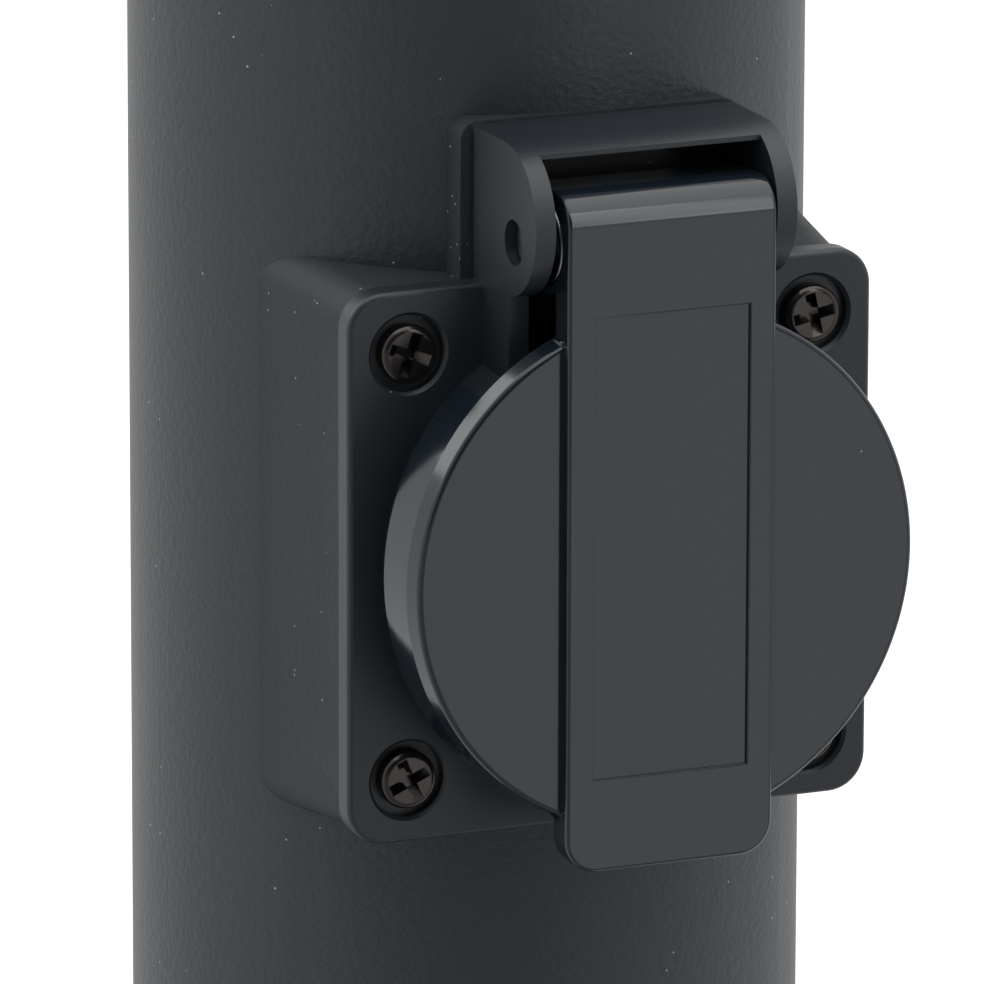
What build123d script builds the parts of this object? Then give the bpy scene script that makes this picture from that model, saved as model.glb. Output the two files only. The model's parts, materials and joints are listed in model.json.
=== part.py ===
from build123d import *

import math
import os

os.makedirs("parts", exist_ok=True)

# A short garden bollard light: a round powder-coated post on a foot plate, an opal light
# head on top, and one outdoor socket outlet with a sprung lid on the front of the post.
# Millimetres. The origin is on the ground on the post's axis, +Z up, the socket faces -Y.

# Driving dimensions: post, foot and head
HEIGHT = 450.0
POST_R = 30.0
POST_WALL = 1.5
POST_BORE_R = POST_R - POST_WALL
FOOT_R = 57.5
FOOT_T = 8.0
FOOT_PCD = 90.0
FOOT_HOLE_R = 3.25
SPIGOT_R = POST_BORE_R - 0.2
SPIGOT_TOP = 38.0
CABLE_R = 5.5
POST_TOP = 330.0
SHOULDER_T = 4.0
CAP_T = 14.0
SEAL_T = 0.8
DIFFUSER_WALL = 2.5
ROD_CIRCLE_R = 25.0
ROD_R = 1.5

# Driving dimensions: the socket outlet, in its own frame. That frame has its origin in the
# middle of the flange's front face, X right, Y back into the post and Z up. The lid hangs
# LID_SHIFT to the right of the middle, by the side play of its hinge.
SOCKET_Z = 210.0
POST_AXIS_Y = 32.7
FLANGE = 49.2
FLANGE_T = 2.2
FLANGE_CORNER_R = 3.4
SCREW_PITCH = 38.0
COLLAR_R = 21.35
COLLAR_RIM_R = 20.75
WELL_R = 19.75
WELL_DEPTH = 17.5
RIM_Y = -8.6
WELL_FLOOR_Y = RIM_Y + WELL_DEPTH
LID_R = 23.4
LID_Z = 0.45
LID_SHIFT = 0.4
LID_FRONT_Y = -11.0
LID_BACK_Y = -8.9
STRAP_HALF = 9.7
STRAP_FRONT_Y = -12.1
STRAP_BOTTOM_Z = -25.45
HINGE_Y = -6.85
HINGE_Z = 29.7
PIN_R = 2.0
EAR_OUT = 12.15
EAR_IN = 10.3
HOOD_TOP_Z = 38.1
PIN_HOLE_PITCH = 19.0

# Angles round the post, from +X, for the three-fold patterns
FOOT_HOLE_ANGLES = (30, 150, 270)
SCREW_ANGLES = (90, 210, 330)
ROD_ANGLES = (30, 150, 270)

SOCKET_PLACE = Pos(0, -POST_AXIS_Y, SOCKET_Z)
BASE_UP = (Align.CENTER, Align.CENTER, Align.MIN)


def cyl_z(radius, low, high, x=0.0, y=0.0):
    """An upright cylinder between two heights."""
    return Pos(x, y, low) * Cylinder(radius, high - low, align=BASE_UP)


def cyl_y(radius, front, back, x=0.0, z=0.0):
    """A cylinder lying along Y between two depths."""
    return Pos(x, back, z) * Rot(90, 0, 0) * Cylinder(radius, back - front, align=BASE_UP)


def cyl_x(radius, left, right, y=0.0, z=0.0):
    """A cylinder lying along X between two ends."""
    return Pos(left, y, z) * Rot(0, 90, 0) * Cylinder(radius, right - left, align=BASE_UP)


def slab_x(outline, left, right):
    """A (Y, Z) outline drawn out along X."""
    return extrude(Pos(left, 0, 0) * (Plane.YZ * outline), right - left)


def slab_y(outline, front, back):
    """An (X, Z) outline drawn out along Y."""
    return extrude(Pos(0, back, 0) * (Plane.XZ * outline), back - front)


def box_between(low, high):
    """A box from its lowest corner to its highest."""
    size = [b - a for a, b in zip(low, high)]
    middle = [(a + b) / 2 for a, b in zip(low, high)]
    return Pos(*middle) * Box(*size)


def turned(points):
    """A (radius, height) outline turned about the post's axis."""
    return revolve(Plane.XZ * Polygon(*points, align=None), axis=Axis.Z)


def turned_y(points):
    """A (radius, depth) outline turned about the socket's axis."""
    return revolve(Polygon(*points, align=None), axis=Axis.Y)


def cross_recess(width, slot, depth):
    """The cutter for a cross recess, below Z = 0."""
    arm = loft([
        Rectangle(width, slot),
        Pos(0, 0, -depth) * Rectangle(width * 0.45, slot * 0.7),
    ])
    return arm + Rot(0, 0, 90) * arm


def cross_screw(head_r, head_h, shank_r, length, turn=0.0):
    """A pan-head cross-recess screw with its head above Z = 0 and its shank below."""
    head = Cylinder(head_r, head_h, align=BASE_UP)
    head = fillet(head.edges().group_by(Axis.Z)[-1], head_h * 0.4)
    recess = Pos(0, 0, head_h) * cross_recess(head_r * 1.5, head_r * 0.38, head_h * 0.8)
    shank = Pos(0, 0, -length) * Cylinder(shank_r, length, align=BASE_UP)
    return Rot(0, 0, turn) * (head - recess + shank)


def slot_screw(head_r, head_h, shank_r, length, turn=0.0):
    """A plain slotted screw for hidden places, with its head above Z = 0."""
    head = Cylinder(head_r, head_h, align=BASE_UP)
    head = chamfer(head.edges().group_by(Axis.Z)[-1], head_h * 0.3)
    slot = Pos(0, 0, head_h) * Box(2 * head_r + 1, head_r * 0.3, head_h)
    shank = Pos(0, 0, -length) * Cylinder(shank_r, length, align=BASE_UP)
    return Rot(0, 0, turn) * (head - slot + shank)


def hex_screw(head_r, head_h, shank_r, length):
    """A button-head screw with a hexagon recess, its head above Z = 0."""
    head = turned([
        (0, 0), (head_r, 0), (head_r * 0.93, head_h * 0.5), (head_r * 0.66, head_h), (0, head_h)
    ])
    recess = Pos(0, 0, head_h * 0.4) * extrude(RegularPolygon(head_r * 0.45, 6), head_h)
    shank = Pos(0, 0, -length) * Cylinder(shank_r, length, align=BASE_UP)
    return head - recess + shank


def around(angles, shape):
    """Copies of a shape turned to each angle about the post's axis."""
    return [Rot(0, 0, angle) * shape for angle in angles]


def outward(radius, height, shape):
    """Lay a screw along +X with its seat at this radius and height."""
    return Pos(radius, 0, height) * Rot(0, 90, 0) * shape


# Foot: a round plate, and a ring fixed on it that the post slides over

FOOT_SCREW_Z = 23.0
GROMMET_HOLE_R = 8.0
FOOT_POCKET = (13.0, 33.0, 4.0)
SPIGOT_BORE_R = 24.5


def base_flange():
    inner, outer, depth = FOOT_POCKET
    solid = turned([
        (GROMMET_HOLE_R, 0), (inner, 0), (inner, depth), (outer, depth), (outer, 0),
        (FOOT_R, 0), (FOOT_R, FOOT_T - 3), (FOOT_R - 3, FOOT_T), (GROMMET_HOLE_R, FOOT_T),
    ])
    for hole in around(FOOT_HOLE_ANGLES, cyl_z(FOOT_HOLE_R, -1, FOOT_T + 1, FOOT_PCD / 2)):
        solid -= hole
    solid -= cyl_z(BRACKET_SCREW_R + 0.1, FOOT_T - 3, FOOT_T + 1, 0, BRACKET_Y + 5)
    solid -= cyl_z(2.1, FOOT_T - 3, FOOT_T + 1, EARTH_X, 0)
    return solid


def foot_spigot():
    solid = turned([
        (SPIGOT_BORE_R, FOOT_T), (SPIGOT_R, FOOT_T), (SPIGOT_R, SPIGOT_TOP - 1),
        (SPIGOT_R - 1, SPIGOT_TOP), (SPIGOT_BORE_R, SPIGOT_TOP),
    ])
    for hole in around(SCREW_ANGLES, cyl_x(2.55, SPIGOT_BORE_R - 1, SPIGOT_R + 1, z=FOOT_SCREW_Z)):
        solid -= hole
    return solid


def cable_grommet():
    lip = 1.6
    lip_r = GROMMET_HOLE_R + 3
    neck_r = GROMMET_HOLE_R - 0.1
    return turned([
        (CABLE_R, 1.0), (neck_r, 1.0), (neck_r, FOOT_T), (lip_r, FOOT_T),
        (lip_r - 1, FOOT_T + lip), (CABLE_R + 2, FOOT_T + lip + 4), (CABLE_R, FOOT_T + lip + 4),
    ])


def post_screws():
    screw = hex_screw(4.0, 2.2, 2.45, 5.2)
    return around(SCREW_ANGLES, outward(POST_R, FOOT_SCREW_Z, screw))


# Wiring kept in the foot: a sheet bracket with the mains terminal block, a cord clamp and
# the earth screw

BRACKET_Y = 12.0
BRACKET_T = 1.5
BRACKET_SCREW_R = 1.9
BRACKET_HALF = 12.0
BRACKET_TOP = 72.0
BLOCK_Z = (46.0, 63.0)
BLOCK_DEPTH = 13.0
POLE_PITCH = 8.0
CLAMP_Z = (25.0, 33.0)
EARTH_X = 18.0


def terminal_bracket():
    foot = box_between(
        (-BRACKET_HALF, BRACKET_Y, FOOT_T), (BRACKET_HALF, BRACKET_Y + 8, FOOT_T + BRACKET_T)
    )
    upright = box_between(
        (-BRACKET_HALF, BRACKET_Y, FOOT_T), (BRACKET_HALF, BRACKET_Y + BRACKET_T, BRACKET_TOP)
    )
    solid = foot + upright
    solid -= cyl_z(BRACKET_SCREW_R + 0.1, 0, FOOT_T + 4, 0, BRACKET_Y + 5)
    for x in (-9.0, 9.0):
        solid -= cyl_y(1.45, BRACKET_Y - 1, BRACKET_Y + 3, x, sum(CLAMP_Z) / 2)
    for x in (-POLE_PITCH / 2, POLE_PITCH / 2):
        solid -= cyl_y(1.25, BRACKET_Y - 1, BRACKET_Y + 3, x, sum(BLOCK_Z) / 2)
    return solid


def bracket_screw():
    screw = slot_screw(3.4, 2.2, BRACKET_SCREW_R, 3.8)
    return Pos(0, BRACKET_Y + 5, FOOT_T + BRACKET_T) * screw


def terminal_block():
    front = BRACKET_Y - BLOCK_DEPTH
    low, high = BLOCK_Z
    middle = (low + high) / 2
    solid = None
    for pole in (-1, 0, 1):
        x = pole * POLE_PITCH
        body = box_between((x - 3.4, front, low), (x + 3.4, BRACKET_Y, high))
        body -= box_between((x - 1.8, front + 4.2, low - 1), (x + 1.8, front + 7.8, high + 1))
        for z in (low + 4, high - 4):
            body -= cyl_y(1.9, front - 1, front + 5, x, z)
        solid = body if solid is None else solid + body
    for x in (-POLE_PITCH / 2, POLE_PITCH / 2):
        solid += box_between((x - 1, front + 6, low + 2), (x + 1, BRACKET_Y, high - 2))
        solid -= cyl_y(1.95, front - 1, front + 6, x, middle)
        solid -= cyl_y(1.25, front, BRACKET_Y + 1, x, middle)
    return solid


def block_screws():
    screw = slot_screw(1.8, 1.2, 1.15, 9.2)
    middle = sum(BLOCK_Z) / 2
    front = BRACKET_Y - BLOCK_DEPTH + 6
    return [
        Pos(x, front, middle) * Rot(90, 0, 0) * screw
        for x in (-POLE_PITCH / 2, POLE_PITCH / 2)
    ]


def cord_clamp():
    low, high = CLAMP_Z
    span = 11.5
    solid = box_between((-span, BRACKET_Y - 4, low), (span, BRACKET_Y, high))
    bridge = cyl_z(CABLE_R + 1.0, low, high, 0, BRACKET_Y - 4)
    keep = box_between((-9, BRACKET_Y - 13, low), (9, BRACKET_Y, high))
    solid += bridge & keep
    solid -= cyl_z(CABLE_R, low - 1, high + 1, 0, BRACKET_Y - 4)
    solid -= box_between((-CABLE_R, BRACKET_Y - 4, low - 1), (CABLE_R, BRACKET_Y + 1, high + 1))
    for x in (-9.0, 9.0):
        solid -= cyl_y(1.45, BRACKET_Y - 5, BRACKET_Y + 1, x, sum(CLAMP_Z) / 2)
    return solid


def cord_clamp_screws():
    screw = slot_screw(2.4, 1.8, 1.35, 6.0)
    return [
        Pos(x, BRACKET_Y - 4, sum(CLAMP_Z) / 2) * Rot(90, 0, 0) * screw
        for x in (-9.0, 9.0)
    ]


def earth_screw():
    return Pos(EARTH_X, 0, FOOT_T) * slot_screw(3.4, 2.2, 2.0, 2.8)


# Post: the round tube, cut out at the front for the socket

def post_tube():
    solid = cyl_z(POST_R, FOOT_T, POST_TOP) - cyl_z(POST_BORE_R, FOOT_T - 1, POST_TOP + 1)
    cut = cyl_y(BODY_R + 0.65, -8, POST_AXIS_Y)
    for x in (-SCREW_PITCH / 2, SCREW_PITCH / 2):
        for z in (-SCREW_PITCH / 2, SCREW_PITCH / 2):
            cut += cyl_y(FLANGE_SCREW_R + 0.05, -8, POST_AXIS_Y, x, z)
    solid -= SOCKET_PLACE * cut
    for hole in around(SCREW_ANGLES, cyl_x(2.6, POST_BORE_R - 2, POST_R + 2, z=FOOT_SCREW_Z)):
        solid -= hole
    for hole in around(SCREW_ANGLES, cyl_x(2.1, POST_BORE_R - 2, POST_R + 2, z=HEAD_SCREW_Z)):
        solid -= hole
    return solid


# Socket outlet: saddle gasket, moulded housing with hinge hood, insert, contacts and lid

FLANGE_SCREW_R = 1.55
BODY_R = 21.25
HOUSING_BACK_Y = 20.0
SCREW_SEAT_Y = 1.1
SCREW_RECESS_R = 3.4
TAB_HALF = 13.1
TAB_TOP_Z = 38.3
GASKET_SECTIONS = (
    (FLANGE_T, -0.4, -0.6, 2.8), (FLANGE_T + 0.7, 1.3, 1.1, 3.2), (20.0, 3.2, 1.8, 3.0)
)
HOOD_ARC = (-5.0, 31.4, 6.7)
HOOD_LIP_Y = -7.9
HOOD_ROOF_T = 1.1
HOOD_BACK_Y = 0.6
SHROUD_FRONT_Y = -5.8
LUG_R = 17.0
DISC_R = WELL_R - 0.1
DISC_BACK_Y = WELL_FLOOR_Y + 5.0


def screw_corners():
    """The four fastening points of the flange, as (x, z)."""
    half = SCREW_PITCH / 2
    return [(x, z) for x in (-half, half) for z in (-half, half)]


def saddle_gasket():
    sections = [
        Pos(0, y, 0) * (Plane.XZ * RectangleRounded(FLANGE + wider, FLANGE + taller, corner_r))
        for y, wider, taller, corner_r in GASKET_SECTIONS
    ]
    tab_half_z = (TAB_TOP_Z - 15) / 2
    tab = Pos(0, tab_half_z + 15) * RectangleRounded(2 * TAB_HALF, 2 * tab_half_z, 1.6)
    solid = loft(sections, ruled=True) + slab_y(tab, FLANGE_T + 0.4, 12)
    solid -= cyl_z(POST_R, -60, 60, 0, POST_AXIS_Y)
    solid -= cyl_y(BODY_R + 0.15, -1, 40)
    for x, z in screw_corners():
        solid -= cyl_y(FLANGE_SCREW_R + 0.25, -1, 40, x, z)
    return solid


def hinge_hood():
    """The hooded knuckle above the collar: two ears, a roof and the shroud below them."""
    arc_y, arc_z, arc_r = HOOD_ARC
    ear = Pos(arc_y, arc_z) * Circle(arc_r)
    ear += Pos((arc_y + FLANGE_T) / 2, (HOOD_TOP_Z + arc_z - arc_r) / 2) * Rectangle(
        FLANGE_T - arc_y, HOOD_TOP_Z - arc_z + arc_r
    )
    shroud_bottom = 14.0
    ear += Pos((SHROUD_FRONT_Y + FLANGE_T) / 2, (shroud_bottom + 26) / 2) * Rectangle(
        FLANGE_T - SHROUD_FRONT_Y, 26 - shroud_bottom
    )
    block = slab_x(ear, -EAR_OUT, EAR_OUT)
    block -= box_between(
        (-EAR_IN, -20, 10), (EAR_IN, HOOD_BACK_Y, HOOD_TOP_Z - HOOD_ROOF_T)
    )
    block -= box_between((-EAR_IN, -20, 10), (EAR_IN, HOOD_LIP_Y, HOOD_TOP_Z + 1))
    block -= cyl_x(PIN_R, -20, 20, HINGE_Y, HINGE_Z)
    return block


def socket_housing():
    plate = slab_y(RectangleRounded(FLANGE, FLANGE, FLANGE_CORNER_R), 0, FLANGE_T)
    plate = fillet(plate.faces().sort_by(Axis.Y)[0].edges(), 0.5)
    collar = turned_y([(0, 0), (COLLAR_R, 0), (COLLAR_RIM_R, RIM_Y), (0, RIM_Y)])
    solid = plate + collar + cyl_y(BODY_R, 0, HOUSING_BACK_Y) + hinge_hood()
    solid -= cyl_y(WELL_R, RIM_Y - 1, DISC_BACK_Y)
    lug_gap = cyl_y(WELL_R, DISC_BACK_Y, HOUSING_BACK_Y + 1)
    lugs = None
    for angle in (45, 135, 225, 315):
        reach = Rot(0, -angle, 0) * box_between((LUG_R, DISC_BACK_Y, -4), (25, DISC_BACK_Y + 2.5, 4))
        lugs = reach if lugs is None else lugs + reach
    solid -= lug_gap - lugs
    for x, z in screw_corners():
        solid -= cyl_y(SCREW_RECESS_R, -1, SCREW_SEAT_Y, x, z)
        solid -= Pos(x, 0, z) * turned_y([
            (0, 0.4), (SCREW_RECESS_R - 0.1, 0.4), (SCREW_RECESS_R + 0.5, -0.2), (0, -0.2)
        ])
        solid -= cyl_y(FLANGE_SCREW_R + 0.2, -1, FLANGE_T + 1, x, z)
    return solid


def flange_screws():
    turns = (24, 70, 38, 12)
    screws = []
    for (x, z), turn in zip(screw_corners(), turns):
        screw = cross_screw(2.6, 1.5, FLANGE_SCREW_R, 13.5, turn)
        screws.append(Pos(x, SCREW_SEAT_Y, z) * Rot(90, 0, 0) * screw)
    return screws


CHAMBER = (4.0, 15.0, 7.0)
CHAMBER_BACK_Y = 30.0
SLEEVE_R = 3.2
SLEEVE_BORE_R = 2.45
PIN_ENTRY_R = 2.8
SLEEVE_FRONT_Y = 11.5
CLIP_HALF = 2.5
CLIP_T = 0.8
CLIP_OUT_Z = 19.0
CONTACT_SCREW_Y = 26.0


def earth_clip_outline():
    """The bent strip in (Y, Z): a bridge behind the disc and two bowed contact arms."""
    tip_y = -1.0
    bow_y = 3.2
    bow_z = CLIP_OUT_Z - 2.2
    root_y = WELL_FLOOR_Y + 0.4
    back_y = DISC_BACK_Y + CLIP_T
    half = [
        (back_y, 0), (back_y, CLIP_OUT_Z), (root_y, CLIP_OUT_Z), (bow_y, bow_z + CLIP_T),
        (tip_y, CLIP_OUT_Z), (tip_y, CLIP_OUT_Z - CLIP_T), (bow_y, bow_z),
        (root_y, CLIP_OUT_Z - CLIP_T), (DISC_BACK_Y, CLIP_OUT_Z - CLIP_T), (DISC_BACK_Y, 0),
    ]
    return Polygon(*half, align=None)


def earth_clip():
    arm = slab_x(earth_clip_outline(), -CLIP_HALF, CLIP_HALF)
    solid = arm + mirror(arm, Plane.XY)
    solid -= cyl_y(1.6, DISC_BACK_Y - 1, DISC_BACK_Y + 2)
    return solid


def socket_insert():
    inner, outer, half = CHAMBER
    solid = cyl_y(DISC_R, WELL_FLOOR_Y, DISC_BACK_Y)
    for side in (-1, 1):
        left, right = sorted((side * inner, side * outer))
        solid += box_between((left, DISC_BACK_Y - 1, -half), (right, CHAMBER_BACK_Y, half))
    for side in (-1, 1):
        x = side * PIN_HOLE_PITCH / 2
        solid -= cyl_y(PIN_ENTRY_R, WELL_FLOOR_Y - 1, SLEEVE_FRONT_Y, x)
        solid -= cyl_y(SLEEVE_R + 0.1, SLEEVE_FRONT_Y, CHAMBER_BACK_Y + 1, x)
        solid -= cyl_z(1.7, 0, half + 1, x, CONTACT_SCREW_Y)
    for side in (-1, 1):
        low, high = sorted((side * (CLIP_OUT_Z - CLIP_T - 0.4), side * (DISC_R + 1)))
        solid -= box_between(
            (-CLIP_HALF - 0.3, WELL_FLOOR_Y - 1, low), (CLIP_HALF + 0.3, DISC_BACK_Y + 1, high)
        )
    solid -= cyl_y(3.0, WELL_FLOOR_Y - 1, WELL_FLOOR_Y + 1.6)
    solid -= cyl_y(1.7, WELL_FLOOR_Y - 1, DISC_BACK_Y + 1)
    return solid


def contact_sleeves():
    sleeves = []
    for side in (-1, 1):
        x = side * PIN_HOLE_PITCH / 2
        sleeve = cyl_y(SLEEVE_R, SLEEVE_FRONT_Y, CHAMBER_BACK_Y - 0.5, x)
        sleeve -= cyl_y(SLEEVE_BORE_R, SLEEVE_FRONT_Y - 1, CHAMBER_BACK_Y, x)
        sleeve -= box_between(
            (x - 0.4, SLEEVE_FRONT_Y - 1, -4), (x + 0.4, SLEEVE_FRONT_Y + 9, 4)
        )
        sleeve -= cyl_z(1.55, 0, 6, x, CONTACT_SCREW_Y)
        sleeves.append(sleeve)
    return sleeves


def contact_screws():
    half = CHAMBER[2]
    screw = slot_screw(2.4, 1.6, 1.45, 6.2)
    return [
        Pos(side * PIN_HOLE_PITCH / 2, CONTACT_SCREW_Y, half) * screw for side in (-1, 1)
    ]


def insert_screw():
    screw = slot_screw(2.8, 1.5, 1.5, 7.0, 20)
    return Pos(0, WELL_FLOOR_Y + 1.6, 0) * Rot(90, 0, 0) * screw


PIN_END_X = 11.2
SPRING_MEAN_R = 3.45
SPRING_WIRE = 0.7
POCKET_DEPTH = 4.0
BOSS_R = 2.95
POCKET_R = 3.95
PANEL = (-7.15, 7.25, -17.2, 23.7)
PANEL_DEPTH = 0.3
KNUCKLE_R = 4.65
SKIRT_R = 23.1
SKIRT_BORE_R = 22.1
SKIRT_BACK_Y = -3.8
SKIRT_GAP_HALF = 16.2
STRAP_BACK_Y = -9.4
STRAP_TOP_Z = 34.4
ROLL_R = 3.0


def hinge_pin():
    pin = cyl_x(PIN_R, -PIN_END_X, PIN_END_X, HINGE_Y, HINGE_Z)
    return chamfer(pin.edges().group_by(Axis.X)[0] + pin.edges().group_by(Axis.X)[-1], 0.3)


def lid_springs():
    reach = SPRING_WIRE / 2
    springs = []
    for side in (-1, 1):
        pocket_end = LID_SHIFT + side * (STRAP_HALF - POCKET_DEPTH + 0.3)
        left, right = sorted((side * (EAR_IN - 0.1), pocket_end))
        coil = cyl_x(SPRING_MEAN_R + reach, left, right, HINGE_Y, HINGE_Z)
        coil -= cyl_x(SPRING_MEAN_R - reach, left - 1, right + 1, HINGE_Y, HINGE_Z)
        springs.append(coil)
    return springs


def strap_side_outline():
    """The strap's (Y, Z) outline: a flat band that rolls over into the hinge knuckle."""
    band_height = STRAP_TOP_Z - STRAP_BOTTOM_Z
    outline = Pos((STRAP_FRONT_Y + STRAP_BACK_Y) / 2, STRAP_BOTTOM_Z + band_height / 2) * Rectangle(
        STRAP_BACK_Y - STRAP_FRONT_Y, band_height
    )
    outline += Pos(HINGE_Y, HINGE_Z) * Circle(KNUCKLE_R)
    outline += Pos((STRAP_FRONT_Y + HINGE_Y) / 2, (HINGE_Z + STRAP_TOP_Z) / 2) * Rectangle(
        HINGE_Y - STRAP_FRONT_Y, STRAP_TOP_Z - HINGE_Z
    )
    back_y = HINGE_Y + KNUCKLE_R
    slope = 2.55
    outline += Polygon(
        (HINGE_Y, STRAP_TOP_Z), (HINGE_Y, HINGE_Z), (back_y, HINGE_Z),
        (back_y, STRAP_TOP_Z - slope), (back_y - slope, STRAP_TOP_Z), align=None,
    )
    roll = [
        v for v in outline.vertices()
        if abs(v.X - STRAP_FRONT_Y) < 0.01 and abs(v.Y - STRAP_TOP_Z) < 0.01
    ]
    return fillet(roll, ROLL_R)


def lid():
    """The round lid, its strap and knuckle, and the skirt behind its rim."""
    disc = cyl_y(LID_R, LID_FRONT_Y, LID_BACK_Y, 0, LID_Z)
    disc = fillet(disc.edges().group_by(Axis.Y)[0], 0.35)
    disc = chamfer(disc.edges().group_by(Axis.Y)[-1], 0.2)
    strap = slab_x(strap_side_outline(), -STRAP_HALF, STRAP_HALF)
    corner = 3.0
    height = STRAP_TOP_Z - STRAP_BOTTOM_Z
    front_shape = Pos(0, STRAP_BOTTOM_Z + height / 2) * Rectangle(2 * STRAP_HALF, height)
    front_shape = fillet(front_shape.vertices().group_by(Axis.Y)[0], corner)
    strap &= slab_y(front_shape, -20, 20)
    front_edges = strap.faces().filter_by(Axis.Y).sort_by(Axis.Y)[0].edges()
    strap = fillet(front_edges, 0.35)
    left, right, low, high = PANEL
    panel = box_between(
        (left, STRAP_FRONT_Y - 1, low), (right, STRAP_FRONT_Y + PANEL_DEPTH, high)
    )
    solid = disc + strap - panel
    solid -= cyl_x(PIN_R + 0.06, -20, 20, HINGE_Y, HINGE_Z)
    for side in (-1, 1):
        left, right = sorted((side * (STRAP_HALF - POCKET_DEPTH), side * 20))
        pocket = cyl_x(POCKET_R, left, right, HINGE_Y, HINGE_Z)
        pocket -= cyl_x(BOSS_R, left, right, HINGE_Y, HINGE_Z)
        solid -= pocket
    skirt = cyl_y(SKIRT_R, LID_BACK_Y - 0.5, SKIRT_BACK_Y, 0, LID_Z)
    skirt -= cyl_y(SKIRT_BORE_R, LID_BACK_Y - 1, SKIRT_BACK_Y + 1, 0, LID_Z)
    skirt -= box_between(
        (-SKIRT_GAP_HALF, LID_BACK_Y - 1, 0), (SKIRT_GAP_HALF, SKIRT_BACK_Y + 1, LID_R)
    )
    solid += skirt
    groove = cyl_y(SEAL_OUT_R + 0.1, LID_BACK_Y - SEAL_SUNK, LID_BACK_Y + 1)
    groove -= cyl_y(SEAL_IN_R - 0.1, LID_BACK_Y - SEAL_SUNK, LID_BACK_Y + 1)
    return Pos(LID_SHIFT, 0, 0) * (solid - groove)


SEAL_OUT_R = 21.2
SEAL_IN_R = 18.8
SEAL_SUNK = 0.9


def lid_seal():
    face = RIM_Y - 0.05
    ring = cyl_y(SEAL_OUT_R, LID_BACK_Y - SEAL_SUNK, face)
    ring -= cyl_y(SEAL_IN_R, LID_BACK_Y - SEAL_SUNK - 1, face + 1)
    return Pos(LID_SHIFT, 0, 0) * ring


# Light head: adapter ring, holder plate, lampholder, lamp, opal diffuser and cap

ADAPTER_LOW = 316.0
ADAPTER_BORE_R = 25.3
SHOULDER_BORE_R = 22.8
SHOULDER_TOP = POST_TOP + SHOULDER_T
HEAD_SCREW_Z = 321.0
PLATE_T = 1.2
PLATE_TOP = SHOULDER_TOP + PLATE_T
STACK_R = POST_R - 0.2
NIPPLE_R = 5.0
NUT_T = 3.0
HOLDER_TOP = 375.5
DIFFUSER_LOW = PLATE_TOP + SEAL_T
CAP_LOW = HEIGHT - CAP_T
DIFFUSER_HIGH = CAP_LOW - SEAL_T
LAMP_LOW = 354.5
CAP_HEIGHT = 25.0
GLOBE_R = 22.5
GLOBE_Z = 410.0
GLOBE_RIM_Z = GLOBE_Z - 8.0


def head_adapter():
    solid = turned([
        (ADAPTER_BORE_R, ADAPTER_LOW), (SPIGOT_R, ADAPTER_LOW), (SPIGOT_R, POST_TOP),
        (POST_R, POST_TOP), (POST_R, SHOULDER_TOP), (SHOULDER_BORE_R, SHOULDER_TOP),
        (SHOULDER_BORE_R, POST_TOP), (ADAPTER_BORE_R, POST_TOP),
    ])
    for boss in around(ROD_ANGLES, cyl_z(3.6, ADAPTER_LOW, POST_TOP, ROD_CIRCLE_R)):
        solid += boss & cyl_z(SPIGOT_R, ADAPTER_LOW, POST_TOP)
    rod_hole = cyl_z(ROD_R + 0.15, ADAPTER_LOW - 1, SHOULDER_TOP + 1, ROD_CIRCLE_R)
    for hole in around(ROD_ANGLES, rod_hole):
        solid -= hole
    screw_hole = cyl_x(1.95, ADAPTER_BORE_R - 2, SPIGOT_R + 1, z=HEAD_SCREW_Z)
    for hole in around(SCREW_ANGLES, screw_hole):
        solid -= hole
    return solid


def head_screws():
    screw = hex_screw(3.4, 1.8, 1.85, 4.2)
    return around(SCREW_ANGLES, outward(POST_R, HEAD_SCREW_Z, screw))


def holder_plate():
    """The sheet disc that carries the lampholder, trapped between the ring and the diffuser."""
    solid = cyl_z(STACK_R, SHOULDER_TOP, PLATE_TOP)
    for hole in around(ROD_ANGLES, cyl_z(ROD_R + 0.15, POST_TOP, PLATE_TOP + 1, ROD_CIRCLE_R)):
        solid -= hole
    solid -= cyl_z(NIPPLE_R + 0.1, POST_TOP, PLATE_TOP + 1)
    lead_hole_y = 19.0
    return solid - cyl_z(2.5, POST_TOP, PLATE_TOP + 1, 0, lead_hole_y)


def holder_nipple():
    reach = 6.0
    low, high = SHOULDER_TOP - reach, PLATE_TOP + reach
    return cyl_z(NIPPLE_R, low, high) - cyl_z(NIPPLE_R - 1.2, low - 1, high + 1)


def holder_nut():
    low = SHOULDER_TOP - NUT_T
    nut = Pos(0, 0, low) * extrude(RegularPolygon(8.0, 6), NUT_T)
    return nut - cyl_z(NIPPLE_R + 0.05, low - 1, SHOULDER_TOP + 1)


def lampholder():
    low = PLATE_TOP
    floor = LAMP_LOW - 3
    outside = [
        (0, low), (14.5, low), (15, low + 0.5), (15, low + 10), (19, low + 14),
        (19, HOLDER_TOP - 1), (18, HOLDER_TOP), (14.7, HOLDER_TOP), (14.7, floor), (0, floor),
    ]
    solid = turned(outside)
    solid -= cyl_z(NIPPLE_R + 0.1, low - 1, low + 6.3)
    return solid - cyl_z(3.0, low, floor - 3)


def thread_outline(radius, wall, low, high, crests):
    """A (radius, height) wall with rounded thread crests, as points."""
    pitch = (high - low) / crests
    depth = 0.55
    outer = []
    for crest in range(crests):
        start = low + crest * pitch
        outer += [
            (radius - depth, start), (radius, start + pitch * 0.3), (radius, start + pitch * 0.7)
        ]
    outer.append((radius - depth, high))
    inner = [(r - wall, z) for r, z in reversed(outer)]
    return outer + inner


def lampholder_shell():
    return turned(thread_outline(14.6, 0.5, LAMP_LOW - 2.9, HOLDER_TOP - 3, 3))


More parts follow.
